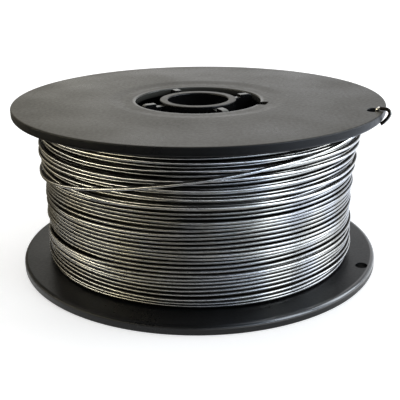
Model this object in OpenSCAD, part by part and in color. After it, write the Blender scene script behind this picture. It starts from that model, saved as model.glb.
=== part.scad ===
// Spool of flux-cored welding wire: a black moulded spool of two pieces, the wound
// wire, and the wire's free end, which crosses the winding, comes up through a hole
// in the upper flange and is hooked over its rim.
// Millimetres, +Z up. The spool stands on its lower flange, with its axis on Z.

/* [Spool] */
// Diameter of both flanges
flange_d = 100; // [90:1:120]
// Width of the spool over its two flanges
spool_w = 45; // [35:0.5:60]
// Thickness of a flange
flange_t = 2.5; // [1.8:0.1:4]
// Diameter of the spindle bore
bore_d = 16.5; // [12:0.1:19]
// Wall of the tube around the bore
tube_wall = 2.2; // [1.4:0.1:3]
// Outside diameter of the barrel that carries the wire
barrel_d = 48.8; // [42:0.1:60]
// Wall of the barrel
barrel_wall = 2.2; // [1.4:0.1:3]
// Diameter of the opening in the middle of each flange
opening_d = 34; // [28:0.1:38]

/* [Ribs] */
// Number of ribs between the tube and the barrel
rib_count = 4; // [3:1:6]
// Thickness of a rib
rib_t = 1.8; // [1:0.1:3]
// Direction of the first rib, anticlockwise from +X
rib_angle = 26; // [0:1:90]
// Depth of the tube's ends and the ribs' lugs below the flange faces, and of the
// shallow recess round the upper opening
hub_recess = 0.4; // [0.1:0.05:0.8]
// Radial length of the lug on each rib that centres the upper flange
lug_length = 3.8; // [2:0.1:5]
// Radial play between the lugs and the opening's edge
lug_play = 0.5; // [0.2:0.1:1]
// Height of a lug above the low part of the rib beside the tube
lug_step = 1.3; // [0.5:0.1:3]

/* [Edges and marks] */
// Rounding of each rim on the side that faces the wire
rim_round = 0.9; // [0.3:0.1:1.2]
// Rounding of each rim on its outer side
face_round = 0.3; // [0.1:0.1:0.6]
// Chamfer at both ends of the bore
bore_chamfer = 0.4; // [0.2:0.1:1]
// Width of the slope from the upper face down into the recess round the opening
slope_w = 4.1; // [1:0.1:5]
// Depth of the seat for the barrel's end under the upper flange
seat_depth = 0.6; // [0.3:0.1:1]
// Width of the notch in the upper opening's edge
notch_w = 3.4; // [1:0.1:4]
// Depth of the notch
notch_depth = 2.6; // [1:0.1:4]
// Direction of the notch
notch_angle = -21; // [-40:1:0]

/* [Wire holes] */
// Diameter of the hole for the wire's end, one in each flange
wire_hole_d = 3.5; // [2:0.1:4]
// Distance of the hole's centre from the rim
wire_hole_inset = 3; // [2.5:0.1:5]
// Direction of the holes
wire_hole_angle = -22; // [-40:0.1:0]

/* [Wire] */
// Diameter of the wire
wire_d = 0.9; // [0.6:0.1:1.2]
// Outside diameter of the wound wire
pack_d = 85.2; // [60:0.1:94]
// Distance from one turn of the outer layer to the next
turn_pitch = 0.97; // [0.6:0.01:1.5]

/* [Fits] */
// Clearance between pieces that are fixed together
fit = 0.05; // [0.02:0.01:0.2]
// Space between the wound wire and each flange
side_gap = 0.1; // [0.05:0.05:0.5]
// Space between the wire's free end and the turns that it crosses
lay_gap = 0.1; // [0.05:0.05:0.5]

/* [Hidden] */
$fn = 180;
flange_r = flange_d / 2;
opening_r = opening_d / 2;
bore_r = bore_d / 2;
tube_r = bore_r + tube_wall;
barrel_r = barrel_d / 2;
barrel_bore_r = barrel_r - barrel_wall;
wire_r = wire_d / 2;
pack_r = pack_d / 2;
upper_z = spool_w - flange_t; // underside of the upper flange
barrel_top = upper_z + seat_depth - fit;
hub_low = hub_recess;
hub_top = spool_w - hub_recess;
lug_out = opening_r - lug_play;
lug_in = lug_out - lug_length;
lug_chamfer = 0.5;
rib_gap = 0.3; // between the ribs and the upper flange's lip
opening_chamfer = 0.3;
wire_hole_r = flange_r - wire_hole_inset;
through = 1; // how far a cut runs past the faces it goes through

tube_sides = 8;
steps = 2; // sections of the wire's tube for each stretch of its route

black_plastic = [0.13, 0.13, 0.14];
drawn_steel = [0.66, 0.66, 0.64];

// The wire's end where it crosses the winding, anticlockwise and upwards: direction,
// clearance from the turns below it, and height above the upper face.
crossing_run = [
    [-187, 0, -17.8], [-176, 0, -17.6], [-165, 0, -17.3], [-155, 0, -16.9],
    [-146, 0, -16.5], [-137, 0, -15.5], [-127, 0, -14.1], [-117, 0, -12.8],
    [-107, 0, -11.5], [-97, 0, -10.3], [-88, 0, -9.4], [-79, 0, -8.5],
    [-70, 0, -7.8], [-61, 0, -7.3], [-53, 0.1, -6.9], [-46, 0.3, -6.5],
    [-40, 0.7, -6.0], [-34.5, 1.3, -5.3], [-30, 2.0, -4.6], [-26.2, 2.9, -3.9]
];
// Its way up through the hole and over the rim: direction from the hole's, distance
// from the hole's centre, and height above the upper face.
hole_run = [
    [-2.2, -0.1, -3.15], [-1.1, 0.35, -2.5], [-0.4, 0.8, -1.7], [-0.1, 1.15, -0.8],
    [0, 1.22, -0.1], [0, 1.38, 0.38], [0, 1.85, 0.57]
];
// The hook outside the rim: direction from the hole's, distance outside the rim, and
// height above the upper face.
hook_run = [
    [-0.1, -0.4, 0.58], [-0.2, 0.4, 0.55], [-0.3, 1.05, 0.33], [-0.4, 1.45, -0.2],
    [-0.6, 1.42, -0.85], [-0.9, 1.12, -1.45], [-1.2, 0.7, -2.0], [-1.5, 0.16, -2.58],
    [-1.7, -0.45, -3.0]
];

function polar(angle, r, z) = [r * cos(angle), r * sin(angle), z];
function unit(v) = v / norm(v);
function arc(centre, r, from, to, n) =
    [for (i = [0:n]) let (a = from + (to - from) * i / n) centre + r * [cos(a), sin(a)]];

wire_route = concat(
    [for (p = crossing_run) polar(p[0], pack_r + lay_gap + wire_r + p[1], spool_w + p[2])],
    [for (p = hole_run) polar(wire_hole_angle + p[0], wire_hole_r + p[1], spool_w + p[2])],
    [for (p = hook_run) polar(wire_hole_angle + p[0], flange_r + p[1], spool_w + p[2])]
);

// A Catmull-Rom curve through the points of a route.
function route_point(p, i, t) =
    let (n = len(p) - 1, a = p[max(i - 1, 0)], b = p[i], c = p[min(i + 1, n)], d = p[min(i + 2, n)])
    0.5 * (2 * b + (c - a) * t + (2 * a - 5 * b + 4 * c - d) * t * t
           + (3 * b - a - 3 * c + d) * t * t * t);
function smooth_route(p, n) = concat(
    [for (i = [0:len(p) - 2], j = [0:n - 1]) route_point(p, i, j / n)], [p[len(p) - 1]]);
function heading(p, i) = unit(p[min(i + 1, len(p) - 1)] - p[max(i - 1, 0)]);
// The part of a vector that is square to a heading.
function square_to(v, h) = unit(v - (v * h) * h);
// One vector for each point, square to the path and turning with it as little as it can.
function sides_of(p) = [
    for (i = 0, s = square_to([0, 0, 1], heading(p, 0)); i < len(p);
         i = i + 1, s = i < len(p) ? square_to(s, heading(p, i)) : s) s
];

// A round tube of radius r along path p, closed at both ends.
module swept_tube(p, r, n) {
    s = sides_of(p);
    points = [for (i = [0:len(p) - 1], k = [0:n - 1])
        let (a = 360 * k / n)
        p[i] + r * (cos(a) * s[i] + sin(a) * cross(heading(p, i), s[i]))];
    walls = [for (i = [0:len(p) - 2], k = [0:n - 1])
        let (m = (k + 1) % n)
        [i * n + k, (i + 1) * n + k, (i + 1) * n + m, i * n + m]];
    start_cap = [for (k = [0:n - 1]) k];
    end_cap = [for (k = [n - 1:-1:0]) (len(p) - 1) * n + k];
    polyhedron(points, concat([start_cap], walls, [end_cap]), convexity = 6);
}

// A ring between two radii.
module ring(inner, outer, low, high) {
    rotate_extrude() translate([inner, low]) square([outer - inner, high - low]);
}

module wire_hole() {
    rotate(wire_hole_angle) translate([wire_hole_r, 0, -through])
        cylinder(d = wire_hole_d, h = flange_t + 2 * through, $fn = 48);
}

// A flange lying on z = 0 with its outer side down.
module flange_disc() {
    rotate_extrude() polygon(concat(
        [[opening_r, opening_chamfer], [opening_r + opening_chamfer, 0]],
        arc([flange_r - face_round, face_round], face_round, -90, 0, 4),
        arc([flange_r - rim_round, flange_t - rim_round], rim_round, 0, 90, 8),
        [[opening_r, flange_t]]
    ));
}

module rib() {
    rotate([90, 0, 0]) linear_extrude(rib_t, center = true) polygon([
        [bore_r + tube_wall / 2, hub_low],
        [barrel_r - barrel_wall / 2, hub_low],
        [barrel_r - barrel_wall / 2, upper_z - rib_gap],
        [lug_out, upper_z - rib_gap],
        [lug_out, hub_top - lug_chamfer],
        [lug_out - lug_chamfer, hub_top],
        [lug_in, hub_top],
        [lug_in, hub_top - lug_step],
        [bore_r + tube_wall / 2, hub_top - lug_step]
    ]);
}

module hub_tube() {
    rotate_extrude() polygon([
        [bore_r + bore_chamfer, hub_low], [tube_r, hub_low], [tube_r, hub_top],
        [bore_r + bore_chamfer, hub_top], [bore_r, hub_top - bore_chamfer],
        [bore_r, hub_low + bore_chamfer]
    ]);
}

// Lower flange, barrel, tube and ribs: one moulding.
module spool_body() {
    color(black_plastic) union() {
        difference() {
            flange_disc();
            wire_hole();
        }
        ring(barrel_bore_r, barrel_r, flange_t / 2, barrel_top);
        hub_tube();
        for (i = [0:rib_count - 1]) rotate(rib_angle + i * 360 / rib_count) rib();
    }
}

// The recess round the opening: a flat lip, and a slope that starts over the barrel.
module hub_dish() {
    rotate_extrude() polygon([
        [0, -through], [barrel_r, -through], [barrel_r, 0],
        [barrel_r - slope_w, hub_recess], [0, hub_recess]
    ]);
}

// The second moulding, pressed and welded onto the barrel's end.
module top_flange() {
    color(black_plastic) translate([0, 0, spool_w]) mirror([0, 0, 1]) difference() {
        flange_disc();
        wire_hole();
        hub_dish();
        ring(barrel_bore_r - fit, barrel_r + fit, flange_t - seat_depth, flange_t + through);
        rotate(notch_angle) translate([opening_r - through, -notch_w / 2, -through])
            cube([notch_depth + through, notch_w, flange_t + 2 * through]);
    }
}

// The wound wire as one turned piece, with the turns of its outer layer.
module wire_winding() {
    low = flange_t + side_gap;
    high = upper_z - side_gap;
    turns = floor((high - low) / turn_pitch);
    pitch = (high - low) / turns;
    turn_half_angle = 75; // of each turn that shows between its neighbours
    color(drawn_steel) rotate_extrude() polygon(concat(
        [[barrel_r + fit, low]],
        [for (i = [0:turns - 1]) each arc([pack_r - wire_r, low + (i + 0.5) * pitch],
            wire_r, -turn_half_angle, turn_half_angle, 6)],
        [[barrel_r + fit, high]]
    ));
}

// The wire's free end, from the outer layer over the rim.
module wire_tail() {
    color(drawn_steel) swept_tube(smooth_route(wire_route, steps), wire_r, tube_sides);
}

spool_body();
top_flange();
wire_winding();
wire_tail();
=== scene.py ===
# %% [markdown]
# A spool of flux-cored welding wire
#
# The object is a black moulded spool, 100 mm across, wound full of bright 0.9 mm wire. The last turn
# crosses the others, comes up through a hole in the upper flange and is hooked over its rim.
#
# The exact shapes of the spool come in as a fixed frame of solids. This lesson keeps their sizes and
# places. It lays the wire turn by turn as a winding machine does, makes the two mouldings again with
# soft edges, gives both materials their finish, and lights the result as a product shot.
#
# The frame is loaded first, and its box is measured before anything is added.

# %% Load the frame
import math
from types import SimpleNamespace

import bmesh
import bpy
import numpy as np
from mathutils import Matrix, Vector


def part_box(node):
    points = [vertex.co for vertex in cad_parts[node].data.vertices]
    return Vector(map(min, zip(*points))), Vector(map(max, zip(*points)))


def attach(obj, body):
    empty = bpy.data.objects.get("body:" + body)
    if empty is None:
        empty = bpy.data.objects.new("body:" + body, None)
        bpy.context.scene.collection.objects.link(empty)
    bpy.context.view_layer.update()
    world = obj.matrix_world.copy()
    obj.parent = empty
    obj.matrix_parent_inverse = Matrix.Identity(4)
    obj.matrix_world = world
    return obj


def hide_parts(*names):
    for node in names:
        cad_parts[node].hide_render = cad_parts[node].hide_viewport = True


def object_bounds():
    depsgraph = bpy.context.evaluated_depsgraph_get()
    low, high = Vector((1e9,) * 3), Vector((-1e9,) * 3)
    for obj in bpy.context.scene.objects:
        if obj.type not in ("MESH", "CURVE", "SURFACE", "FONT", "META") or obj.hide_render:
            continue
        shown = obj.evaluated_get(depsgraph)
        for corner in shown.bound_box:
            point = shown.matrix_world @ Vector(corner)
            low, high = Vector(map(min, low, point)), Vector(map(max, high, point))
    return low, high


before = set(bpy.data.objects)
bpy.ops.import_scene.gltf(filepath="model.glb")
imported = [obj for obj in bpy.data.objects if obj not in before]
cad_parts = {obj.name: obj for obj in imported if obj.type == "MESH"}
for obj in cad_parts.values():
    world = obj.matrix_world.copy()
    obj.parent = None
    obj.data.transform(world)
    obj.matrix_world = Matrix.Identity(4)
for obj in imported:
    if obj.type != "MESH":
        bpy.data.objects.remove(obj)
cad_low, cad_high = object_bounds()
print("nodes:", sorted(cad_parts))
print("box in mm:", [round(1000 * (b - a), 2) for a, b in zip(cad_low, cad_high)])

# %% [markdown]
# Sizes
#
# The numbers could be typed in again here, but then a change to the frame would leave this scene
# behind. So the flanges' own boxes give the rim and the faces, and the wound part's box gives the space
# that the wire fills. Only the wire's diameter is named here, since the frame shows it as grooves.

# %% Sizes from the frame
MM = 0.001

body_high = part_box("spool_body")[1]
flange_low, flange_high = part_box("top_flange")
pack_low, pack_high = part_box("wire_winding")

RIM_RADIUS = min(flange_high.x, -flange_low.x, flange_high.y, -flange_low.y)
TOP = flange_high.z
FLANGE_THICKNESS = flange_high.z - flange_low.z
PACK_RADIUS = pack_high.x
WIRE_RADIUS = 0.45 * MM
WIRE_DIAMETER = 2 * WIRE_RADIUS
LOWEST_TURN = pack_low.z + WIRE_RADIUS
HIGHEST_TURN = pack_high.z - WIRE_RADIUS
print(f"rim radius {RIM_RADIUS / MM:.1f} mm, wound radius {PACK_RADIUS / MM:.1f} mm")

# %% [markdown]
# The camera
#
# A product shot of a spool looks down on it by some twenty degrees, which shows the upper face and the
# winding together. A long lens from far away would flatten the ellipses of the flanges. A lens of about
# 65 mm close to the object keeps the slight perspective of such a shot. It is aimed just beside the
# spool's axis, a third of the way up, and a roll of half a degree sets the rims a little askew.

# %% Place things in the scene
def placed(name, data):
    """A new object with this mesh, lamp or camera, put into the scene."""
    thing = bpy.data.objects.new(name, data)
    bpy.context.scene.collection.objects.link(thing)
    return thing

# %% Camera
AIM = Vector((0.275 * MM, 0, 15.11 * MM))
ELEVATION = math.radians(19.964)
DISTANCE = 208.48 * MM
ROLL = math.radians(-0.547)
LENS = 65.31  # mm
SENSOR_WIDTH = 36  # mm
NEAREST = 0.01  # metres from the camera at which things start to show

camera_data = bpy.data.cameras.new("camera")
camera_data.lens = LENS
camera_data.sensor_width = SENSOR_WIDTH
camera_data.clip_start = NEAREST
camera = placed("camera", camera_data)
# it stands at x = 0 and looks a little to the right of the axis
towards_camera = Vector((-AIM.x / DISTANCE, -math.cos(ELEVATION), math.sin(ELEVATION)))
camera.location = AIM + DISTANCE * towards_camera
look = (AIM - camera.location).to_track_quat("-Z", "Y")
camera.rotation_mode = "QUATERNION"
camera.rotation_quaternion = look @ Matrix.Rotation(ROLL, 3, "Z").to_quaternion()
bpy.context.scene.camera = camera
print("camera stands", round(camera.location.length / MM), "mm from the origin")

# %% [markdown]
# How the wire lies
#
# A layer of wire is a helix. Each turn wanders a little, and where it meets a turn that is already
# there it climbs onto it. A Screw modifier or a stack of rings would give perfect rows, which no such
# spool has. So the wire is laid here in order, sample by sample: its height comes from the machine's
# travel and a slow wander, and its distance from the axis is the smallest at which it touches nothing
# laid before.
#
# The wander is a sum of waves. A wave with a whole number of cycles a turn would shift every turn by
# the same amount. A fraction more or less makes neighbouring turns differ, so that they bunch and part.
# The random numbers come from one generator with a fixed seed, so every run winds the same spool.

# %% Travel and wander of the wire
SAMPLES = 180  # of the wire in each turn
WAVES = 6  # in the wander

def travel(turns, start, end):
    """Height of each sample of a pass that moves evenly from one height to another."""
    return np.linspace(start, end, int(turns * SAMPLES), endpoint=False)

def wander(count, size, drift, random):
    """A slow random shift, the same length as the pass. Drift is how far neighbours differ."""
    turn = np.arange(count) / SAMPLES
    shift = np.zeros(count)
    for cycles in range(1, WAVES + 1):
        strength = size * random.uniform(0.5, 1.0) / math.sqrt(cycles)
        rate = cycles + drift * random.uniform(-1, 1)
        shift += strength * np.sin(2 * math.pi * (rate * turn + random.uniform(0, 1)))
    return shift

# %% Three passes of the machine
random = np.random.default_rng(7)
under_turns = 40
outer_turns = 38
loose_turns = 7

under = travel(under_turns, HIGHEST_TURN, LOWEST_TURN)
under += wander(len(under), size=0.10 * MM, drift=0.2, random=random)
outer = travel(outer_turns, LOWEST_TURN, HIGHEST_TURN)
outer += wander(len(outer), size=0.15 * MM, drift=0.15, random=random)
print(f"{under_turns} turns under, {outer_turns} turns outside and {loose_turns} loose turns over them")

# %% [markdown]
# The route of the wire's end
#
# The last turn climbs across the others, leaves the winding, passes up through the hole in the upper flange
# and bends down over the rim. A physics simulation could bend it, but it is stiff steel that a hand has
# shaped, so its route is a few listed points, the same ones as in the frame's solid, joined by a smooth
# curve.

# %% Route of the wire's end
HOLE_DIRECTION = -22
HOLE_RADIUS = RIM_RADIUS - 3 * MM

# direction in degrees, distance outside the outer turns in mm, height above the upper face in mm
crossing_run = [
    (-187, 0, -17.8), (-176, 0, -17.6), (-165, 0, -17.3), (-155, 0, -16.9), (-146, 0, -16.5),
    (-137, 0, -15.5), (-127, 0, -14.1), (-117, 0, -12.8), (-107, 0, -11.5), (-97, 0, -10.3),
    (-88, 0, -9.4), (-79, 0, -8.5), (-70, 0, -7.8), (-61, 0, -7.3), (-53, 0.1, -6.9),
    (-46, 0.3, -6.5), (-40, 0.7, -6.0), (-34.5, 1.3, -5.3), (-30, 2.0, -4.6), (-26.2, 2.9, -3.9),
]
# direction from the hole's in degrees, distance from the hole's centre in mm, height in mm
hole_run = [
    (-2.2, -0.1, -3.15), (-1.1, 0.35, -2.5), (-0.4, 0.8, -1.7), (-0.1, 1.15, -0.8),
    (0, 1.22, -0.1), (0, 1.38, 0.38), (0, 1.85, 0.57),
]
# direction from the hole's in degrees, distance outside the rim in mm, height in mm
hook_run = [
    (-0.1, -0.4, 0.58), (-0.2, 0.4, 0.55), (-0.3, 1.05, 0.33), (-0.4, 1.45, -0.2), (-0.6, 1.42, -0.85),
    (-0.9, 1.12, -1.45), (-1.2, 0.7, -2.0), (-1.5, 0.16, -2.58), (-1.7, -0.45, -3.0),
]

def route(run, direction, radius):
    """The run's points as rows of direction in degrees, distance from the axis and height."""
    return [(direction + a, radius + d * MM, TOP + h * MM) for a, d, h in run]

# %% A smooth curve through the route
STEPS = 8  # of the curve between two points of the route

def smooth_curve(points, steps):
    """A Catmull-Rom curve through points, with a number of steps for each stretch."""
    p = np.array(points, float)
    p = np.vstack([2 * p[0] - p[1], p, 2 * p[-1] - p[-2]])
    t = np.linspace(0, 1, steps, endpoint=False)[:, None]
    parts = []
    for a, b, c, d in zip(p, p[1:], p[2:], p[3:]):
        parts.append(0.5 * (2 * b + (c - a) * t + (2 * a - 5 * b + 4 * c - d) * t ** 2
                            + (3 * b - a - 3 * c + d) * t ** 3))
    return np.vstack(parts + [p[-2:-1]])

wire_end = smooth_curve(
    route(crossing_run, 0, PACK_RADIUS + 0.1 * MM + WIRE_RADIUS)
    + route(hole_run, HOLE_DIRECTION, HOLE_RADIUS)
    + route(hook_run, HOLE_DIRECTION, RIM_RADIUS), STEPS)
print("points on the wire's end:", len(wire_end))

# %% [markdown]
# Laying the wire
#
# Two round wires touch when their centres are one diameter apart. So a turn that passes another at a
# sideways distance d rests higher than it by the square root of diameter squared less d squared. The
# highest of these over all earlier turns is where the wire rests. Being stiff, it then bridges the
# dips, which is a short maximum followed by a short average along its length.
#
# A rigid body simulation could do this too, but twenty metres of thin wire would be slow and hard to
# steer. This rule takes a moment, because each sixth of a turn is compared with all the turns below it
# in one step.

# %% Lay every pass
CHUNK = SAMPLES // 6  # samples that are compared with the turns below in one step
BRIDGE = 5  # samples on each side over which the stiff wire bridges a dip

def resting_radius(heights, core):
    """Distance from the axis at which each sample rests on the turns that were laid before it."""
    rows = math.ceil(len(heights) / SAMPLES) + 1
    z = np.full(rows * SAMPLES, np.nan)
    z[:len(heights)] = heights
    z = z.reshape(rows, SAMPLES)
    touch = np.full(rows * SAMPLES, core)
    laid = np.full((rows, SAMPLES), core)
    window = np.hanning(2 * BRIDGE + 3)[1:-1]
    window /= window.sum()
    for start in range(0, rows * SAMPLES, CHUNK):
        row, column = divmod(start, SAMPLES)
        here = slice(column, column + CHUNK)
        if row:
            apart = z[:row, here] - z[row, here]
            room = WIRE_DIAMETER ** 2 - apart ** 2
            rest = np.where(room > 0, laid[:row, here] + np.sqrt(np.maximum(room, 0)), core)
            touch[start:start + CHUNK] = np.maximum(core, rest.max(axis=0))
        # the chunk before this one now has both its neighbours, so it can be settled
        if start >= CHUNK:
            first = start - CHUNK
            around = np.arange(first - 2 * BRIDGE, start + 2 * BRIDGE)
            near = touch[np.clip(around, 0, start + CHUNK - 1)]
            bridged = np.array([near[i:i + 2 * BRIDGE + 1].max() for i in range(len(near) - 2 * BRIDGE)])
            settled = np.convolve(bridged, window, "valid")
            row, column = divmod(first, SAMPLES)
            laid[row, column:column + CHUNK] = settled[:CHUNK]
    return laid.ravel()[:len(heights)]

# %% Heights of the last turns
START, LEAVES = crossing_run[0][0], -30  # degrees: where the last turn starts, and leaves the winding
EASED = 40  # samples on each side of its start over which the wire turns into it

angles = np.arange(START, LEAVES, 360 / SAMPLES)
crossing = np.interp(angles, wire_end[:, 0], wire_end[:, 2])
loose = travel(loose_turns, HIGHEST_TURN, crossing[0])
steadied = np.clip(np.linspace(loose_turns, 0, len(loose)), 0, 1)  # the wander ends over the last of them
loose += wander(len(loose), size=0.25 * MM, drift=0.3, random=random) * steadied

last = np.concatenate([loose, crossing])
window = np.hanning(EASED + 1)
eased = np.convolve(last, window / window.sum(), "same")
last = np.where(np.abs(np.arange(len(last)) - len(loose)) < EASED, eased, last)

# %% Where the whole wire rests
CORE = PACK_RADIUS - 1.55 * MM  # distance from the axis at which the lowest wires' middles lie

heights = np.clip(np.concatenate([under, outer, last]), LOWEST_TURN, HIGHEST_TURN)
laid = resting_radius(heights, CORE)
directions = START + (np.arange(len(heights)) - len(heights) + len(angles)) * 360 / SAMPLES
outer_from, last_from = len(under), len(under) + len(outer)
for name, rests in (("under", laid[:outer_from]), ("outer", laid[outer_from:last_from]),
                    ("last", laid[last_from:])):
    r = (rests + WIRE_RADIUS) / MM
    print(f"{name} turns reach {r.min():.2f} to {r.max():.2f} mm, {r.mean():.2f} mm on average")

# %% [markdown]
# The wire as a mesh
#
# A curve object with a bevel would also give a round wire. A mesh is built here instead, because the number
# of its faces stays known. Each sample gets a ring of points across the wire. The rings are turned as little
# as possible from one to the next, so the wire isn't twisted.

# %% A round wire along a path
def sides_along(path, ahead):
    """One unit vector for each point, square to the path, turning as little as it can."""
    side = np.array([0.0, 0.0, 1.0])
    sides = np.empty_like(path)
    for i, h in enumerate(ahead):
        side = side - (side @ h) * h
        side /= np.linalg.norm(side)
        sides[i] = side
    return sides

def wire_mesh(name, path, sides, thickness=None):
    """A tube of the wire's radius along path. Thickness gives the wire's two widths at each point."""
    count = len(path)
    ahead = np.gradient(path, axis=0)
    ahead /= np.linalg.norm(ahead, axis=1)[:, None]
    across = sides_along(path, ahead)
    along = np.cross(ahead, across)
    wide = np.ones((count, 2)) if thickness is None else thickness
    turn = 2 * math.pi * np.arange(sides) / sides
    rings = (path[:, None, :]
             + WIRE_RADIUS * wide[:, :1, None] * np.cos(turn)[None, :, None] * across[:, None, :]
             + WIRE_RADIUS * wide[:, 1:, None] * np.sin(turn)[None, :, None] * along[:, None, :])
    i, k = np.meshgrid(np.arange(count - 1), np.arange(sides), indexing="ij")
    following = (k + 1) % sides
    walls = np.stack([i * sides + k, i * sides + following,
                      (i + 1) * sides + following, (i + 1) * sides + k], axis=-1).reshape(-1, 4)
    faces = walls.tolist() + [list(range(sides))[::-1], [(count - 1) * sides + k for k in range(sides)]]
    mesh = bpy.data.meshes.new(name)
    mesh.from_pydata(rings.reshape(-1, 3).tolist(), [], faces)
    mesh.polygons.foreach_set("use_smooth", [True] * (len(faces) - 2) + [False] * 2)
    mesh.update()
    return placed(name, mesh)

# %% Wire on the spool
def on_the_spool(directions, radii, heights):
    """Points from directions in degrees, distances from the axis and heights."""
    a = np.radians(directions)
    return np.column_stack([radii * np.cos(a), radii * np.sin(a), heights])

def tell_size(piece):
    """Prints how many triangles the piece has."""
    print(piece.name, "has", sum(len(face.vertices) - 2 for face in piece.data.polygons), "triangles")

def finish_wire(piece, *nodes):
    """Puts a piece of wire on the spool, in the place of the frame's solids."""
    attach(piece, "root")
    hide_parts(*nodes)
    tell_size(piece)

# %% [markdown]
# The wound layers
#
# On the real spool some twenty layers lie over each other, but only the two outermost are ever seen.
# The lower of the two shows only in the gaps between the outer turns, so it gets eight sides round the
# wire and the outer one ten. Each is one continuous mesh, as the wire is.

# %% The layer under the outer turns
middles = on_the_spool(directions, laid, heights)
# the steel paints this layer in painted shade, as it lies below the outer turns
under_layer = wire_mesh("wound_wire_under", middles[:outer_from + 1], sides=8)
finish_wire(under_layer, "wire_winding")

# %% The outer turns
outer_layer = wire_mesh("wound_wire_outer", middles[outer_from:last_from + 1], sides=10)
finish_wire(outer_layer, "wire_winding")

# %% [markdown]
# The last turns and the hooked end
#
# The loose turns run on into the wire's end as one piece. Where the end leaves the winding, its
# distance from the axis passes from where it rests to the chosen route. Two separate pieces would need
# a joint that shows; one mesh with a gradual change between two rules has none. Its tip was nipped off,
# which leaves a flattened wedge, so the last rings are narrowed one way and widened the other.

# %% Where the last turns lie
LIFTS, FREE = -78, -45  # degrees: where the last turn starts to lift, and where it follows the route

def fade(values, low, high):
    """0 below low, 1 above high and smooth between."""
    t = np.clip((np.asarray(values) - low) / (high - low), 0, 1)
    return t * t * (3 - 2 * t)

around = directions[last_from:]
resting = laid[last_from:]
chosen = np.interp(around, wire_end[:, 0], wire_end[:, 1])
radii = resting + fade(around, LIFTS, FREE) * (chosen - resting)

# %% The last turns and the wire's end
# the two widths of the tip's last rings, as shares of the wire's
NIPPED = [(0.96, 1.02), (0.8, 1.06), (0.5, 1.12), (0.16, 1.15)]

beyond = wire_end[np.argmax(wire_end[:, 0] > directions[-1] + 1):]
end_points = np.vstack([on_the_spool(around, radii, heights[last_from:]), on_the_spool(*beyond.T)])
end_points[:, 2] = np.minimum(end_points[:, 2], cad_high.z - WIRE_RADIUS)  # never above the frame's box
widths = np.ones((len(end_points), 2))
widths[-len(NIPPED):] = NIPPED
last_turns = wire_mesh("wound_wire_last_turns", end_points, sides=12, thickness=widths)
finish_wire(last_turns, "wire_winding", "wire_tail")

# %% [markdown]
# The core
#
# Through the gaps of the layer underneath, only darkness shows. A plain turned body stands for all the
# deeper layers: wires there would cost over a million faces that nobody sees. It reaches the middle of
# the wires above it, so that no gap looks right through.
#
# A turned body is a profile of radius and height, copied round the axis and joined with faces. A Screw
# modifier does the same; plain code keeps the profile's points and the faces' directions in hand.

# %% A mesh object, and a body turned round the axis
def new_piece(name, points, faces):
    """A mesh object with all its faces turned outwards."""
    mesh = bpy.data.meshes.new(name)
    mesh.from_pydata(points, [], faces)
    shape = bmesh.new()
    shape.from_mesh(mesh)
    bmesh.ops.recalc_face_normals(shape, faces=shape.faces)
    shape.to_mesh(mesh)
    shape.free()
    return placed(name, mesh)

def turned(name, profile, segments=180):
    """A body turned round the axis from a closed profile of radius and height."""
    count = len(profile)
    turn = 2 * math.pi * np.arange(segments) / segments
    r, z = np.array(profile).T
    points = np.stack([r[None] * np.cos(turn)[:, None], r[None] * np.sin(turn)[:, None],
                       np.broadcast_to(z, (segments, count))], axis=-1).reshape(-1, 3)
    faces = [(s * count + k, (s + 1) % segments * count + k,
              (s + 1) % segments * count + (k + 1) % count, s * count + (k + 1) % count)
             for s in range(segments) for k in range(count)]
    return new_piece(name, points.tolist(), faces)

# %% The deeper layers
BARREL_RADIUS = 24.4 * MM
SLACK = 0.05 * MM  # between bodies that fit round each other

# the steel paints the core in painted shade too, so it shows dark through the gaps
core = turned("wound_core", [(BARREL_RADIUS + SLACK, pack_low.z), (CORE, pack_low.z),
                             (CORE, pack_high.z), (BARREL_RADIUS + SLACK, pack_high.z)])
finish_wire(core, "wire_winding")

# %% [markdown]
# The mouldings
#
# The frame's solids have the spool's shapes, with crisp edges. A moulding has soft ones, and a soft edge
# is what catches the light. A Bevel modifier on the frame's mesh would be the quick way, but that mesh is
# all long thin triangles, which bevel and shade badly. So both mouldings are made again, from turned
# profiles with rounded corners and with the frame's own sizes.

# %% Sizes of the hub
BORE_RADIUS = 8.25 * MM
TUBE_RADIUS = 10.45 * MM
OPENING_RADIUS = 17 * MM
BARREL_BORE = 22.2 * MM
RECESS = 0.4 * MM  # of the tube's ends, and round the upper opening
LIP_RADIUS = 20.3 * MM  # where the recess starts to slope up to the face
SLOPE_RADIUS = 24.6 * MM  # where the slope reaches the face
RIM_OUTSIDE, RIM_INSIDE = 0.35 * MM, 0.9 * MM  # roundings of a rim, at its outer face and towards the wire
HUB_TOP = TOP - RECESS
UNDERSIDE = TOP - FLANGE_THICKNESS

def arc(radius, height, rounding, start, end, steps=4):
    """Points of a rounded corner in a profile, from one angle in degrees to another."""
    return [(radius + rounding * math.cos(a), height + rounding * math.sin(a))
            for a in np.radians(np.linspace(start, end, steps + 1))]

def rim(low, high, low_rounding, high_rounding):
    """The outer edge of a flange, from its lower face to its upper one."""
    return ([(RIM_RADIUS - 2 * low_rounding, low)]
            + arc(RIM_RADIUS - low_rounding, low + low_rounding, low_rounding, -90, 0, steps=6)
            + arc(RIM_RADIUS - high_rounding, high - high_rounding, high_rounding, 0, 90, steps=6)
            + [(RIM_RADIUS - 2 * high_rounding, high)])

print(f"the hub's top is at {HUB_TOP / MM:.1f} mm, the flange's underside at {UNDERSIDE / MM:.1f} mm")

# %% [markdown]
# Holes and notches
#
# The flanges have two wire holes and a notch, which aren't round the axis, so turning can't make them.
# Their faces could be laid out by hand. A Boolean modifier is quicker: it subtracts another closed body,
# here called a cutter. A plain cutter leaves a knife edge, so each of these widens at the face along a
# short arc, which rounds the hole's edge. All the outlines are rounded slots that differ in size only.

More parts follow.
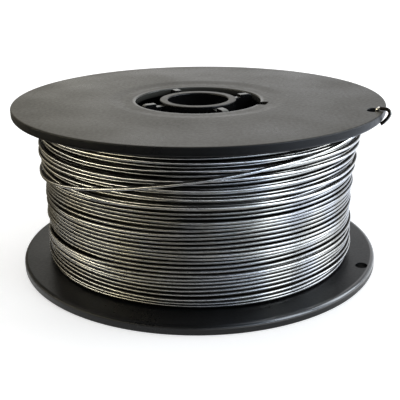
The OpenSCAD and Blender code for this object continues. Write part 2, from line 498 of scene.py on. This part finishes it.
# %% Outline and body of a cutter
CORNER_POINTS = 9  # in each of an outline's four corners
FLARE = 52  # degrees by which a cutter leans out at the face
FLARE_LEVELS = 5  # on the way there

def rounded_slot(direction, radius, half_length, half_width, corner):
    """A rounded slot in the flange: gives its outline, grown by any amount."""
    a = math.radians(direction)
    along, across = Vector((math.cos(a), math.sin(a))), Vector((-math.sin(a), math.cos(a)))

    def outline(grown):
        points = []
        for quarter, (u, v) in enumerate(((1, 1), (-1, 1), (-1, -1), (1, -1))):
            for t in np.radians(np.linspace(90 * quarter, 90 * quarter + 90, CORNER_POINTS)):
                point = (radius + u * (half_length - corner) + (corner + grown) * math.cos(t)) * along
                points.append(point + (v * (half_width - corner) + (corner + grown) * math.sin(t)) * across)
        return points
    return outline

def flared(low, high, rounding):
    """Heights of a cutter and how far it is grown there: it widens towards a face at high."""
    turn = np.radians(np.linspace(0, FLARE, FLARE_LEVELS))
    levels = [(low, 0)]
    for t in turn:
        below = rounding * (math.sin(turn[-1]) - math.sin(t))
        levels.append((high - below, rounding * (1 - math.cos(t))))
    beyond = 0.5 * MM  # it goes on past the face in the same slant
    levels.append((high + beyond * math.cos(turn[-1]), levels[-1][1] + beyond * math.sin(turn[-1])))
    return levels

def cutter(outline, levels):
    """A closed body through the outline's sizes at several heights."""
    rings = [[(p.x, p.y, z) for p in outline(grown)] for z, grown in levels]
    count = len(rings[0])
    faces = [(i * count + k, i * count + (k + 1) % count,
              (i + 1) * count + (k + 1) % count, (i + 1) * count + k)
             for i in range(len(rings) - 1) for k in range(count)]
    faces += [tuple(range(count)), tuple(range((len(rings) - 1) * count, len(rings) * count))]
    return new_piece("cutter", [point for ring in rings for point in ring], faces)

# %% [markdown]
# Joining, cutting and even shading
#
# The Boolean modifiers are applied at once, so the cutters can be removed from the scene. The exact
# solver is slower than the fast one, but it is safe where faces lie in one plane. Afterwards the faces
# are smooth shaded, with sharp edges where the surface turns by more than 28 degrees. Booleans leave
# long faces beside short ones, which would bend the shading, so a Weighted Normal modifier lets the
# large faces decide.

# %% Join, cut and finish a moulding
SHARP_FROM = 28  # degrees

def combine(piece, operation, others):
    """Joins other bodies to the piece or cuts them from it, and removes them."""
    for other in others:
        step = piece.modifiers.new(other.name, "BOOLEAN")
        step.operation = operation
        step.solver = "EXACT"
        step.object = other
    evaluated = piece.evaluated_get(bpy.context.evaluated_depsgraph_get())
    piece.data = bpy.data.meshes.new_from_object(evaluated)
    piece.modifiers.clear()
    for other in others:
        bpy.data.objects.remove(other)

def finish_moulding(piece, cad_node):
    """Smooth faces with sharp corners, in the place of the frame's solid."""
    piece.data.shade_smooth()
    piece.data.set_sharp_from_angle(angle=math.radians(SHARP_FROM))
    even = piece.modifiers.new("even shading", "WEIGHTED_NORMAL")
    even.keep_sharp = True
    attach(piece, "root")
    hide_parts(cad_node)
    tell_size(piece)

# %% [markdown]
# The upper flange
#
# This is a moulding of its own, pressed onto the barrel's end. Its face slopes down a little to a sunk
# ring round the opening, and the ring curves down once more before the opening's edge: that is the
# bright ellipse round the hub. A groove underneath seats it on the barrel. All of it is one closed
# profile, read from the seat outwards round the rim and back in over the face. One wire hole lies near
# the rim, and a small square notch opens into the hub.

# %% Profile of the upper flange
SEAT_DEPTH = 0.6 * MM  # of the groove for the barrel's end
EDGE = 0.4 * MM  # rounding of an opening's outer edge
CROWN = 9 * MM  # radius of the curve of the hub's face before that edge
FALL = 5.5  # degrees by which that curve turns down
STRAIGHT = 0.8 * MM  # from the curve to the edge
UNDER_EDGE = 0.3 * MM  # rounding of the opening's edge underneath
SLOPE_POINTS = 13

slope = [(SLOPE_RADIUS - t * (SLOPE_RADIUS - LIP_RADIUS), TOP - RECESS * t * t * (3 - 2 * t))
         for t in np.linspace(0, 1, SLOPE_POINTS)]
seat_top = UNDERSIDE + SEAT_DEPTH
seat = [(BARREL_BORE - SLACK, UNDERSIDE), (BARREL_BORE - SLACK, seat_top),
        (BARREL_RADIUS + SLACK, seat_top), (BARREL_RADIUS + SLACK, UNDERSIDE)]
tilt = math.radians(FALL)
edge_end = OPENING_RADIUS + EDGE * (1 - math.sin(tilt))
crown_middle = edge_end + STRAIGHT * math.cos(tilt) + CROWN * math.sin(tilt)
edge_height = HUB_TOP - CROWN * (1 - math.cos(tilt)) - STRAIGHT * math.sin(tilt) - EDGE * math.cos(tilt)

# %% The upper flange
upper_flange = turned("upper_flange", seat + rim(UNDERSIDE, TOP, RIM_INSIDE, RIM_OUTSIDE) + slope
                      + arc(crown_middle, HUB_TOP - CROWN, CROWN, 90, 90 + FALL, steps=6)
                      + arc(OPENING_RADIUS + EDGE, edge_height, EDGE, 90 + FALL, 180, steps=8)
                      + arc(OPENING_RADIUS + UNDER_EDGE, UNDERSIDE + UNDER_EDGE, UNDER_EDGE, 180, 270))
wire_hole = rounded_slot(direction=-21.6, radius=47.25 * MM,
                         half_length=1.45 * MM, half_width=2.25 * MM, corner=1.45 * MM)
notch = rounded_slot(direction=-20, radius=OPENING_RADIUS,
                     half_length=2.4 * MM, half_width=1.85 * MM, corner=0.25 * MM)
under_it = UNDERSIDE - 1 * MM  # the cutters start here and go right through
combine(upper_flange, "DIFFERENCE", [cutter(wire_hole, flared(under_it, TOP, rounding=0.3 * MM)),
                                     cutter(notch, flared(under_it, HUB_TOP, rounding=0.25 * MM))])
finish_moulding(upper_flange, "top_flange")

# %% [markdown]
# The body
#
# The lower flange, the barrel, the central tube with the spindle's bore and four ribs are one moulding.
# One profile can't hold it all, since the tube stands free inside the barrel. So the flange with the
# barrel is one turned body and the tube another, and the ribs will join them.

# %% The lower flange with the barrel, and the tube
BORE_EDGE, TUBE_EDGE = 0.4 * MM, 0.25 * MM  # roundings of the tube's ends, inside and outside

body = turned("spool_moulding", arc(OPENING_RADIUS + EDGE, EDGE, EDGE, 180, 270)
              + rim(0, FLANGE_THICKNESS, RIM_OUTSIDE, RIM_INSIDE)
              + [(BARREL_RADIUS, FLANGE_THICKNESS), (BARREL_RADIUS, body_high.z), (BARREL_BORE, body_high.z),
                 (BARREL_BORE, FLANGE_THICKNESS), (OPENING_RADIUS, FLANGE_THICKNESS)])
tube = turned("tube", arc(BORE_RADIUS + BORE_EDGE, RECESS + BORE_EDGE, BORE_EDGE, 180, 270)
              + [(TUBE_RADIUS, RECESS)]
              + arc(TUBE_RADIUS - TUBE_EDGE, HUB_TOP - TUBE_EDGE, TUBE_EDGE, 0, 90)
              + arc(BORE_RADIUS + BORE_EDGE, HUB_TOP - BORE_EDGE, BORE_EDGE, 90, 180), segments=120)

# %% [markdown]
# The ribs
#
# Four flat ribs stand between the barrel and the tube, and each ends at the top in a lug whose worn top
# is seen in the opening. A scaled cube would have no step and no soft edge. Each rib is its side view,
# given a thickness, with every edge bevelled, and then it is turned to its place. A Boolean union makes
# one watertight moulding of them all, and a last cutter opens the lower wire hole.

# %% A rib
RIB_THICKNESS = 1.8 * MM
RIB_EDGE = 0.12 * MM
SUNK = 1 * MM  # depth at which a rib ends, under the tube's outside and under the barrel's
LUG_OUT, LUG_IN, LUG_STEP = 16.5 * MM, 12.7 * MM, 0.8 * MM

rib_from, rib_to = TUBE_RADIUS - SUNK, BARREL_RADIUS - SUNK
rib_top = UNDERSIDE - 0.3 * MM
rib_profile = [
    (rib_from, RECESS), (rib_to, RECESS), (rib_to, rib_top),
    # the lug, with its outer corner taken off in two steps
    (LUG_OUT, rib_top), (LUG_OUT, HUB_TOP - 0.9 * MM), (LUG_OUT - 0.4 * MM, HUB_TOP - 0.3 * MM),
    (LUG_OUT - 1.1 * MM, HUB_TOP), (LUG_IN, HUB_TOP), (LUG_IN, HUB_TOP - LUG_STEP),
    (rib_from, HUB_TOP - LUG_STEP)]

def rib(direction):
    """A flat rib with softened edges, in one direction from the axis."""
    count = len(rib_profile)
    points = [(r, side * RIB_THICKNESS / 2, z) for side in (-1, 1) for r, z in rib_profile]
    faces = [tuple(range(count)), tuple(range(count, 2 * count))]
    faces += [(k, (k + 1) % count, count + (k + 1) % count, count + k) for k in range(count)]
    piece = new_piece("rib", points, faces)
    shape = bmesh.new()
    shape.from_mesh(piece.data)
    bmesh.ops.bevel(shape, geom=shape.edges[:], offset=RIB_EDGE, segments=2, profile=0.5, affect="EDGES")
    bmesh.ops.rotate(shape, verts=shape.verts, cent=(0, 0, 0),
                     matrix=Matrix.Rotation(math.radians(direction), 3, "Z"))
    shape.to_mesh(piece.data)
    shape.free()
    return piece

# %% The body in one
RIBS = 4
FIRST_RIB = 26  # degrees from +X

combine(body, "UNION", [tube] + [rib(FIRST_RIB + 360 / RIBS * i) for i in range(RIBS)])
lower_hole = rounded_slot(direction=-22.6, radius=47.2 * MM,
                          half_length=1.55 * MM, half_width=1.75 * MM, corner=1.55 * MM)
combine(body, "DIFFERENCE", [cutter(lower_hole, flared(-1 * MM, FLANGE_THICKNESS, rounding=0.15 * MM))])
finish_moulding(body, "spool_body")

# %% [markdown]
# Materials
#
# The spool has two finishes, drawn steel and black plastic. Painted images could give them, but they
# have a fixed sharpness and need the meshes unwrapped. Both are made of nodes here, which work out the
# colour from where a point is on the object, at any distance.
#
# Nodes are placed by short helpers: one makes a node, others make the few that come up again and again.
# A mask is a value from zero to one that says where on the piece something is. Masks are made from
# distances and directions, and multiplied where two things have to be true at once.

# %% Node helpers
def feed(tree, made, inputs):
    """Gives a node its inputs, by name or number. Another node's output is linked, a value is written in."""
    for key, value in inputs.items():
        if isinstance(value, bpy.types.NodeSocket):
            tree.links.new(value, made.inputs[key])
        else:
            made.inputs[key].default_value = value

def node(tree, kind, inputs=None, **settings):
    """A new node with its settings and its inputs."""
    made = tree.nodes.new(kind)
    for key, value in settings.items():
        setattr(made, key, value)
    feed(tree, made, inputs or {})
    return made

def material(name):
    """A new material, its tree of nodes and its shader."""
    made = bpy.data.materials.new(name)
    made.use_nodes = True
    return made, made.node_tree, made.node_tree.nodes["Principled BSDF"]

# %% Helpers for values and masks
def mm(*numbers):
    """Millimetres as metres."""
    return [number * MM for number in numbers]

def math_node(tree, operation, first, second):
    """Two values, each a node's output or a number, put together by a math node."""
    return node(tree, "ShaderNodeMath", {0: first, 1: second}, operation=operation).outputs[0]

def product(tree, first, *others):
    """All the values multiplied."""
    for other in others:
        first = math_node(tree, "MULTIPLY", first, other)
    return first

def ranged(tree, value, low, high, to_low=0.0, to_high=1.0):
    """The value carried smoothly from one range to another."""
    made = node(tree, "ShaderNodeMapRange", {"Value": value, "From Min": low, "From Max": high,
                                             "To Min": to_low, "To Max": to_high},
                interpolation_type="SMOOTHSTEP")
    return made.outputs["Result"]

def band(tree, value, start, full, still_full, end):
    """A mask that rises from start to full and falls from still_full to end."""
    return product(tree, ranged(tree, value, start, full), ranged(tree, value, end, still_full))

# %% Helpers for colours and places
def blend(tree, mask, first, second):
    """The first colour where the mask is zero, the second where it is one."""
    # the inputs 6 and 7 of a Mix node are its two colours
    return node(tree, "ShaderNodeMix", {0: mask, 6: first, 7: second}, data_type="RGBA").outputs[2]

def scaled(tree, colour, strength):
    """A colour made brighter or darker."""
    return node(tree, "ShaderNodeVectorMath", {0: colour, "Scale": strength}, operation="SCALE").outputs[0]

def noise(tree, place, scale, detail, roughness=0.5):
    """A soft noise over the places, round one half."""
    made = node(tree, "ShaderNodeTexNoise",
                {"Vector": place, "Scale": scale, "Detail": detail, "Roughness": roughness})
    return made.outputs["Fac"]

def round_the_axis(tree):
    """A point's place on the piece, its parts, and its distance from the axis."""
    place = node(tree, "ShaderNodeTexCoord").outputs["Object"]
    x, y, z = node(tree, "ShaderNodeSeparateXYZ", {0: place}).outputs
    flat = node(tree, "ShaderNodeCombineXYZ", {"X": x, "Y": y}).outputs[0]
    from_axis = node(tree, "ShaderNodeVectorMath", {0: flat}, operation="LENGTH").outputs["Value"]
    return SimpleNamespace(place=place, x=x, y=y, z=z, flat=flat, from_axis=from_axis)

# %% [markdown]
# Mottling
#
# Neither the plastic nor the steel is even: handling, dust and the drawing soap leave soft patches.
# Two noises, one broad and one fine, give a value round one by which a material multiplies its colour
# or its roughness. Copying the nodes into each material would work too, but both finishes use the same
# ones, so they are a group, built once, with its scales and its strength as inputs.

# %% A group with named sockets
def new_group(name, inputs, outputs):
    """An empty node group with named sockets, and its input and output nodes."""
    group = bpy.data.node_groups.new(name, "ShaderNodeTree")
    for label, kind in inputs:
        group.interface.new_socket(label, in_out="INPUT", socket_type=kind)
    for label, kind in outputs:
        group.interface.new_socket(label, in_out="OUTPUT", socket_type=kind)
    return group, group.nodes.new("NodeGroupInput"), group.nodes.new("NodeGroupOutput")

# %% The mottling nodes
mottling, given, result = new_group(
    "mottling",
    [("Vector", "NodeSocketVector"), ("Broad", "NodeSocketFloat"),
     ("Fine", "NodeSocketFloat"), ("Amount", "NodeSocketFloat")],
    [("Value", "NodeSocketFloat")])
broad = noise(mottling, given.outputs["Vector"], given.outputs["Broad"], detail=3)
fine = noise(mottling, given.outputs["Vector"], given.outputs["Fine"], detail=4, roughness=0.6)
centred = math_node(mottling, "SUBTRACT", math_node(mottling, "ADD", broad, fine), 1)
swing = product(mottling, centred, given.outputs["Amount"])
feed(mottling, result, {"Value": math_node(mottling, "ADD", swing, 1)})

def mottled(tree, place, broad, fine, amount):
    """The group's value in a material, with the material's own scales and strength."""
    made = node(tree, "ShaderNodeGroup",
                {"Vector": place, "Broad": broad, "Fine": fine, "Amount": amount}, node_tree=mottling)
    return made.outputs["Value"]

# %% [markdown]
# Drawn steel
#
# The wire is bright steel that was pulled through dies, so fine lines run along it. A plain noise has
# no direction. Here its coordinates are the direction round the axis, the distance from it and the
# height, with the first one shrunk, which stretches the noise along every turn.

# %% Coordinates that follow the turns
SHRUNK = 0.0005

steel, tree, shader = material("drawn steel wire")
point = round_the_axis(tree)
direction = math_node(tree, "ARCTAN2", point.y, point.x)
turned_place = node(tree, "ShaderNodeCombineXYZ", {"X": product(tree, direction, SHRUNK),
                                                   "Y": point.from_axis, "Z": point.z}).outputs[0]

# %% [markdown]
# Where the wire is painted in shade
#
# Shade is painted where the turns touch: the sides of each turn and the layers below are painted dark, and
# only the crest of an outer turn keeps the bright steel. Ambient occlusion could find the gaps, but it is
# slow and isn't exported. Two simpler facts do: a crest faces away from the axis, and it lies further out
# than the layers below. On the short bend above the rim the painted shade is left off all round, which gives
# a painted glint, and the tip beyond it is painted dark.

# %% Unshaded crests and the painted glint on the bend
CREST = (0.4, 0.93)  # cosine of the angle to the outward direction: where the painted shade is full, and where it ends
OUTER_TURNS = mm(41.7, 42.4)  # distance from the axis: the layers below, all in painted shade, end, and the outer ones start
GLINT_BEND = mm(47.7, 47.9, 48.7, 48.95)  # distance from the axis of the bend, over the hole and the rim, where a glint is painted

outward = node(tree, "ShaderNodeVectorMath", {0: point.flat}, operation="NORMALIZE").outputs[0]
normal = node(tree, "ShaderNodeNewGeometry").outputs["Normal"]
facing = node(tree, "ShaderNodeVectorMath", {0: normal, 1: outward}, operation="DOT_PRODUCT")
# painted shade: all but the outer crests and the bend get the dark colour
unshaded_crests = product(tree, ranged(tree, facing.outputs["Value"], *CREST),
                 ranged(tree, point.from_axis, *OUTER_TURNS))
# painted glint: the bend is left out of the painted shade all round
unshaded = math_node(tree, "MAXIMUM", unshaded_crests, band(tree, point.from_axis, *GLINT_BEND))

# %% [markdown]
# The steel's colour and shine
#
# A metal's colour is its reflection's, so bright steel is a mid grey with a roughness near 0.13, and in the
# painted shade it is almost black and dull. The unshaded mask blends the two. The lines and patches vary the
# colour, a slow noise turns it from warm to cool, and the lines give a very small bump. Where the wire
# stands clear of the winding, in the outermost turns and the wire's end, it is painted lighter, a painted
# light, and its tip is painted darker.

# %% Colour, roughness and drawing lines
# the colour of the painted shade between and under the turns
PAINTED_SHADE = (0.028, 0.024, 0.019, 1)
WARM_STEEL, COOL_STEEL = (0.465, 0.451, 0.412, 1), (0.438, 0.443, 0.452, 1)
DULL, BRIGHT = 0.5, 0.13  # roughness in the painted shade and of bright steel
CLEAR_OF_THE_REST = mm(42.6, 43.4)  # distance from the axis
TIP = mm(48.8, 49.2)

lines = noise(tree, turned_place, scale=5500, detail=2, roughness=0.6)
patches = mottled(tree, point.place, broad=70, fine=700, amount=0.5)
tint = ranged(tree, noise(tree, point.place, scale=90, detail=1), low=0.35, high=0.65)
colour = blend(tree, unshaded, PAINTED_SHADE, blend(tree, tint, WARM_STEEL, COOL_STEEL))
streaks = ranged(tree, lines, low=0.3, high=0.7, to_low=0.8, to_high=1.12)
# painted light: the outermost turns and the wire's end are painted up to 1.8 times lighter
painted_lighter_end = ranged(tree, point.from_axis, *CLEAR_OF_THE_REST, to_low=0.93, to_high=1.8)
# painted shade: the tip is painted darker
painted_darker_tip = ranged(tree, point.from_axis, *TIP, to_low=1, to_high=0.35)
shade = product(tree, streaks, painted_lighter_end, painted_darker_tip, patches)
bump = node(tree, "ShaderNodeBump", {"Strength": 0.12, "Distance": 0.01 * MM, "Height": lines})
feed(tree, shader, {"Metallic": 1,
                    "Base Color": scaled(tree, colour, shade),
                    "Roughness": product(tree, patches, ranged(tree, unshaded, 0, 1, DULL, BRIGHT)),
                    "Normal": bump.outputs[0]})

# %% [markdown]
# Black plastic
#
# The spool is moulded from black polystyrene with a satin face. At a low angle it mirrors the pale
# surroundings, which makes the upper face grey while the rims stay black. That needs no grey paint: a
# low index of refraction and a middling roughness give it from any side.
#
# A film of dust lies on what faces up at the top. A texture could place it, but the surface's own
# normal and height tell where dust can settle.

# %% Black plastic: dust
UP = (0.6, 1.0)  # height of the surface's normal: where dust starts to hold, and where it lies fully
AT_THE_TOP = (TOP - 3 * MM, TOP - 1 * MM)

plastic, tree, shader = material("moulded black plastic")
point = round_the_axis(tree)
patches = mottled(tree, point.place, broad=45, fine=1200, amount=1)
normal = node(tree, "ShaderNodeNewGeometry").outputs["Normal"]
normal_height = node(tree, "ShaderNodeSeparateXYZ", {0: normal}).outputs["Z"]
upward = ranged(tree, normal_height, *UP)
on_top = ranged(tree, point.z, *AT_THE_TOP)
dusty = product(tree, upward, on_top, patches)

# %% [markdown]
# Painted sheen, smooth and handled places
#
# The lugs' tops and a thin band at the opening's edge are painted paler, a painted sheen for the light these
# faces catch, and they are smoother as well. The walls inside the hub keep the mould's gloss, and so do the
# parts of the lower rim that hands have polished, where a thin clear coat gives a sharper highlight. Each
# place is a mask made from its own distance from the axis and its height, which is exact on a turned part,
# where painting by hand isn't.

# %% Black plastic: painted sheen, smooth and handled places
# each mask starts at the first number and is full at the second, and a band also falls again
WALL = (0.6, 0.3)  # height of the surface's normal
IN_THE_HUB = mm(17.3, 17.1)  # distances from the axis
BESIDE_THE_TUBE = mm(11.2, 11.6, 17.1, 17.3)
HUB_EDGE = mm(18.2, 17.4)
SMOOTH_EDGE = mm(16.9, 17.0)
PALE_EDGE = mm(16.95, 17.0, 17.25, 17.45)
ON_THE_RIM = mm(48.7, 49.1)
LUG_TOPS = (HUB_TOP - 1.2 * MM, HUB_TOP - 1.0 * MM)  # heights
LOWER_RIM = mm(1.4, 1.7, 3, 3.2)
RIGHT = mm(-5, 20)  # from left to right
HOW_PALE = 0.7  # share of the lugs' painted sheen that the edge gets

lug_tops = product(tree, band(tree, point.from_axis, *BESIDE_THE_TUBE), upward,
                   ranged(tree, point.z, *LUG_TOPS))
hub_walls = product(tree, ranged(tree, point.from_axis, *IN_THE_HUB), ranged(tree, normal_height, *WALL))
hub_edge = product(tree, on_top, ranged(tree, point.from_axis, *HUB_EDGE))
smooth_edge = product(tree, hub_edge, ranged(tree, point.from_axis, *SMOOTH_EDGE))
# painted sheen: a thin band at the opening's edge is painted paler
painted_edge_sheen = product(tree, hub_edge, band(tree, point.from_axis, *PALE_EDGE), HOW_PALE)
handled = product(tree, ranged(tree, point.from_axis, *ON_THE_RIM), band(tree, point.z, *LOWER_RIM),
                  ranged(tree, point.x, *RIGHT))

# %% [markdown]
# The plastic's colour, gloss and grain
#
# Black plastic is never quite black: its colour is about 0.006, and the dust adds a warm brown of 0.03. The
# painted sheen is a pale grey of 0.09.
# The roughness comes from the masks, varied by the mottling. The mould's grain is finer than a face of
# the mesh, so it is a bump from a fine noise and not geometry.

# %% Black plastic: colour, roughness and grain
# the pale grey of the painted sheen on the lug tops and the opening's edge
BLACK, DUST, PAINTED_SHEEN_GREY = (0.006, 0.006, 0.0063, 1), (0.031, 0.027, 0.017, 1), (0.09, 0.09, 0.08, 1)
# roughness outside and in the hub, and how much is added to it where it is smoothed
SATIN, GLOSS, SMOOTHED = 0.36, 0.15, -0.22

# painted sheen on the lug tops and at the opening's edge
painted_sheen = math_node(tree, "MAXIMUM", lug_tops, painted_edge_sheen)
smoothed = math_node(tree, "MAXIMUM", lug_tops, smooth_edge)
satin = math_node(tree, "ADD", ranged(tree, hub_walls, 0, 1, SATIN, GLOSS),
                  ranged(tree, smoothed, 0, 1, 0, SMOOTHED))
grain = noise(tree, point.place, scale=1800, detail=3)
bump = node(tree, "ShaderNodeBump", {"Strength": 0.45, "Distance": 0.04 * MM, "Height": grain})
feed(tree, shader, {"IOR": 1.35,
                    "Base Color": blend(tree, painted_sheen, blend(tree, dusty, BLACK, DUST), PAINTED_SHEEN_GREY),
                    "Roughness": product(tree, patches, satin),
                    "Normal": bump.outputs[0],
                    "Coat Weight": handled, "Coat IOR": 1.8, "Coat Roughness": 0.12})

# %% [markdown]
# Dressing the pieces
#
# A mesh shows the material in its first slot. The steel goes to the four pieces of wire and the plastic
# to the two mouldings. Both read object coordinates, and all pieces have their origin on the spool's
# axis, so one material fits all its pieces.

# %% Dress the pieces
def dress(piece, finish):
    """Gives the piece its only material."""
    piece.data.materials.clear()
    piece.data.materials.append(finish)
    print(f"{piece.name} wears {finish.name}, made of {len(finish.node_tree.nodes)} nodes")

for piece in (under_layer, outer_layer, last_turns, core):
    dress(piece, steel)
for piece in (upper_flange, body):
    dress(piece, plastic)

# %% [markdown]
# The floor
#
# A product shot stands on white paper. Bright lamps could burn the floor out to white, but they would
# also wash out the object. Instead the floor adds light of its own only for rays that come from the
# camera, from a mirror reflection or through something clear. The soft light that the lamps throw on it
# still varies, so the spool's shadow stays. Far off, where the lamps don't reach, it adds more.

# %% What is seen directly
def seen_directly(tree):
    """One for rays from the camera, in mirror reflections and through clear things, else zero."""
    rays = node(tree, "ShaderNodeLightPath").outputs
    direct = math_node(tree, "MAXIMUM", rays["Is Camera Ray"], rays["Is Glossy Ray"])
    return math_node(tree, "MAXIMUM", direct, rays["Is Transmission Ray"])

# %% Floor
HALF = 3.0  # metres
NEAR, FAR = 0.2, 1.2  # metres from the axis
GLOW_NEAR, GLOW_FAR = 0.54, 1.0

floor_mesh = bpy.data.meshes.new("floor")
floor_mesh.from_pydata([(x * HALF, y * HALF, 0) for x, y in ((-1, -1), (1, -1), (1, 1), (-1, 1))],
                       [], [(0, 1, 2, 3)])
floor = placed("floor", floor_mesh)
paper, tree, shader = material("white paper floor")
glow = ranged(tree, round_the_axis(tree).from_axis, NEAR, FAR, GLOW_NEAR, GLOW_FAR)
feed(tree, shader, {"Base Color": (0.8, 0.8, 0.8, 1), "Roughness": 0.9, "Emission Color": (1, 1, 1, 1),
                    "Emission Strength": product(tree, seen_directly(tree), glow)})
dress(floor, paper)

# %% [markdown]
# The world
#
# The world is the air round the stage. It works the same way as the floor: white where it is seen, and
# a plain dim grey as a light, so that no part of the spool is quite without light.

# %% World
AS_A_LIGHT, AS_SEEN = 0.3, 1.0  # strength

world = bpy.data.worlds.new("studio")
bpy.context.scene.world = world
world.use_nodes = True
tree = world.node_tree
feed(tree, tree.nodes["Background"],
     {"Color": (1, 1, 1, 1), "Strength": ranged(tree, seen_directly(tree), 0, 1, AS_A_LIGHT, AS_SEEN)})
print("world:", world.name)

# %% [markdown]
# The lamps
#
# Four area lamps, the softboxes of a studio, give long soft highlights. Point lamps would give hard dots
# on every turn of the wire. Two cool ones stand at the right, a weak warm one at the left and a large
# one above. They are weak, since the reflections of the stage do most of the work on black and steel.

# %% Lamps
COOL, WARM, WHITE = (0.86, 0.93, 1.0), (1.0, 0.93, 0.8), (1, 1, 1)

def softbox(name, direction, elevation, distance, size, power, colour):
    """An area lamp that faces the middle of the spool."""
    lamp = bpy.data.lights.new(name, "AREA")
    lamp.shape = "RECTANGLE"
    lamp.size, lamp.size_y = size
    lamp.energy = power
    lamp.color = colour
    a, e = math.radians(direction), math.radians(elevation)
    towards = Vector((math.cos(a) * math.cos(e), math.sin(a) * math.cos(e), math.sin(e)))
    holder = placed(name, lamp)
    holder.location = Vector((0, 0, TOP / 2)) + distance * towards
    holder.rotation_euler = towards.to_track_quat("Z", "Y").to_euler()
    print(name, "gives", power, "watts")

# name, direction and elevation in degrees, distance and size in metres, power in watts, colour
softbox("right softbox", 8, 28, 0.6, (0.26, 0.36), 1.2, COOL)
softbox("front right softbox", -33, 28, 0.6, (0.22, 0.36), 0.9, COOL)
softbox("left softbox", 168, 46, 0.6, (0.45, 0.22), 0.3, WARM)
softbox("top softbox", 90, 70, 0.7, (0.6, 0.6), 2, WHITE)

# %% [markdown]
# The dark side of the studio
#
# Metal and gloss show what stands round them. Behind the camera a studio is dark, to the left stands a
# dim cream wall, and to the right a cool bright one. All of it also lies on the table, just outside the
# object. Without it the whole front of the rims and of the wires would mirror white, and the steel would
# look like chalk. An environment image could give this. A real screen round the stage does it with a
# mesh and a material: only reflections see it, since it is hidden from the camera and casts no shadow.

# %% A curved screen
# distance from the axis and height, in metres: out over the table, up the wall and in at the top
screen_profile = [(0.058, 0.0006), (0.3, 0.0006), (0.6, 0.0006), (0.72, 0.08), (0.75, 0.25),
                  (0.75, 0.9), (0.55, 1.25), (0.25, 1.4), (0.08, 1.42)]
SCREEN_STEPS = 96  # round the stage

screen_points = []
for turn in np.linspace(math.radians(-270), math.radians(90), SCREEN_STEPS + 1):
    screen_points += [(r * math.cos(turn), r * math.sin(turn), z) for r, z in screen_profile]
rows = len(screen_profile)
screen_faces = [(i * rows + k, (i + 1) * rows + k, (i + 1) * rows + k + 1, i * rows + k + 1)
                for i in range(SCREEN_STEPS) for k in range(rows - 1)]
screen_mesh = bpy.data.meshes.new("dark screen")
screen_mesh.from_pydata(screen_points, [], screen_faces)
screen = placed("dark screen", screen_mesh)
screen.visible_camera = False
screen.visible_diffuse = False
screen.visible_shadow = False

# %% [markdown]
# The screen's shades
#
# The screen gives off light, and its colour depends on the direction from the spool. A Color Ramp holds
# a colour for each direction, for the table, for the wall and for a bright strip low on the wall, which
# draws the thin line on every turn. The slope from the stage's middle tells them apart.

# %% Directions round the stage
felt, tree, shader = material("felt and cream wall")
point = round_the_axis(tree)
# the direction from the front, from minus a half turn at the left to half a turn at the right
side = math_node(tree, "ARCTAN2", point.x, product(tree, point.y, -1))
along = ranged(tree, side, -math.pi, math.pi)
along.node.interpolation_type = "LINEAR"

def shades_by_direction(stops):
    """A colour for each direction from the front in degrees, smooth between them."""
    made = node(tree, "ShaderNodeValToRGB", {"Fac": along})
    elements = made.color_ramp.elements
    elements.remove(elements[1])
    positions = [degrees / 360 + 0.5 for degrees, _ in stops]
    elements[0].position = positions[0]
    for position in positions[1:]:
        elements.new(position)
    for element, (_, shade) in zip(elements, stops):
        element.color = (*shade, 1)
    print("colours in the directions", [round(360 * (element.position - 0.5)) for element in elements])
    return made.outputs["Color"]

# %% Colours by direction, in degrees from the front
wall = shades_by_direction([
    (-180, (1, 1, 1)), (-166, (0.88, 0.86, 0.79)), (-148, (0.06, 0.052, 0.036)),
    (-70, (0.05, 0.044, 0.03)), (-40, (0.030, 0.028, 0.020)), (-14, (0.018, 0.018, 0.018)),
    (5, (0.025, 0.028, 0.033)), (28, (0.098, 0.12, 0.15)), (42, (0.335, 0.385, 0.465)),
    (58, (0.56, 0.645, 0.78)), (75, (0.465, 0.535, 0.64)), (93, (0.69, 0.74, 0.81)),
    (120, (0.35, 0.37, 0.40)), (160, (0.75, 0.76, 0.78)), (180, (1, 1, 1))])
ground = shades_by_direction([
    (-180, (1, 1, 1)), (-168, (0.86, 0.84, 0.77)), (-150, (0.25, 0.23, 0.18)),
    (-125, (0.10, 0.09, 0.065)), (-70, (0.06, 0.053, 0.037)), (-40, (0.04, 0.037, 0.028)),
    (-14, (0.024, 0.025, 0.026)), (5, (0.046, 0.053, 0.064)), (28, (0.19, 0.225, 0.275)),
    (42, (0.68, 0.79, 0.94)), (58, (1.08, 1.21, 1.40)), (120, (1.10, 1.18, 1.32)), (160, (1, 1, 1))])
strip = shades_by_direction([
    (-160, (0, 0, 0)), (-150, (0.10, 0.09, 0.07)), (-125, (0.13, 0.12, 0.095)),
    (-100, (0.55, 0.50, 0.40)), (-80, (1.36, 1.25, 0.93)), (-60, (1.13, 1.045, 0.77)),
    (-33, (0.42, 0.39, 0.32)), (-14, (0.275, 0.27, 0.255)), (5, (0.29, 0.305, 0.325)),
    (28, (0.47, 0.54, 0.64)), (42, (0.575, 0.67, 0.79)), (58, (0.63, 0.71, 0.82)),
    (90, (0.62, 0.66, 0.72)), (120, (0.2, 0.2, 0.2)), (150, (0, 0, 0))])

# %% The strip, the wall and the table together
# height over distance from the axis: where the table passes into the wall, and where the strip lies
TABLE_TO_WALL = (0.02, 0.08)
STRIP = (0.14, 0.18, 0.235, 0.28)
STRIP_STRENGTH = 8

steepness = math_node(tree, "DIVIDE", point.z, point.from_axis)
plain = blend(tree, ranged(tree, steepness, *TABLE_TO_WALL), ground, wall)
lit = scaled(tree, strip, product(tree, band(tree, steepness, *STRIP), STRIP_STRENGTH))
whole = node(tree, "ShaderNodeVectorMath", {0: plain, 1: lit}, operation="ADD")
feed(tree, shader, {"Base Color": (0, 0, 0, 1), "Roughness": 1,
                    "Emission Color": whole.outputs[0], "Emission Strength": 1})
dress(screen, felt)

# %% [markdown]
# Finish
#
# The Standard view shows colours as they are written.

# %% Finish
bpy.context.scene.view_settings.view_transform = "Standard"
